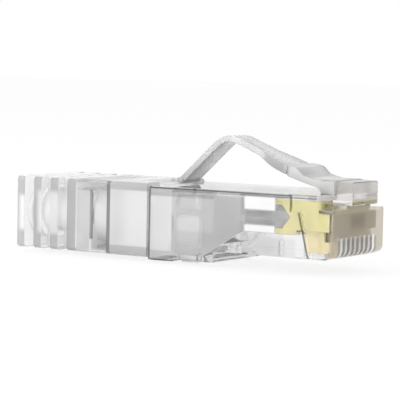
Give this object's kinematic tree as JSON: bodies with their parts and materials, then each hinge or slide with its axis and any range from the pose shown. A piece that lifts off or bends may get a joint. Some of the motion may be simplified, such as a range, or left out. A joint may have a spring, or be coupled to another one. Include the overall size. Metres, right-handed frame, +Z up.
{
  "type": "rj45 modular plug",
  "caption": "Clear modular plug for network cable, with an arched sprung latch, gold blade contacts, a yellow load bar and a ribbed strain relief boot.",
  "frame": {"origin": "middle of the plug's bounding box, on its underside", "axes": "+X forward to the nose, +Y across the plug, +Z up to the latch"},
  "size_m": [0.0412, 0.0116, 0.0138],
  "materials": {
    "clear_body": "clear polycarbonate, polished",
    "clear_latch": "clear polycarbonate, lightly textured on top",
    "clear_guide": "clear polycarbonate, satin",
    "clear_boot": "slightly milky clear plastic",
    "yellow_bar": "pale yellow translucent plastic",
    "gold_contact": "gold-plated"
  },
  "bodies": {
    "shell": {"plug_housing": "clear_body", "load_bar": "yellow_bar", "cable_guide": "clear_guide", "strain_relief_boot": "clear_boot", "contact_1": "gold_contact", "contact_2": "gold_contact", "contact_3": "gold_contact", "contact_4": "gold_contact", "contact_5": "gold_contact", "contact_6": "gold_contact", "contact_7": "gold_contact", "contact_8": "gold_contact"},
    "latch_arm": {"latch_front_arm": "clear_latch"},
    "latch_leg": {"latch_rear_leg": "clear_latch"}
  },
  "joints": [
    {"name": "latch_press", "type": "hinge", "parent": "shell", "child": "latch_arm", "pos_m": [0.01678, 0, 0.0092], "axis": [0, -1, 0], "range_deg": [0, 14], "stiffness_Nm_per_rad": 0.02},
    {"name": "leg_fold", "type": "hinge", "parent": "latch_arm", "child": "latch_leg", "pos_m": [0.00284, 0, 0.01256], "axis": [0, 1, 0], "range_deg": [0, 55]}
  ],
  "couplings": [
    {"joint": "leg_fold", "follows": "latch_press", "ratio": 3.9}
  ]
}
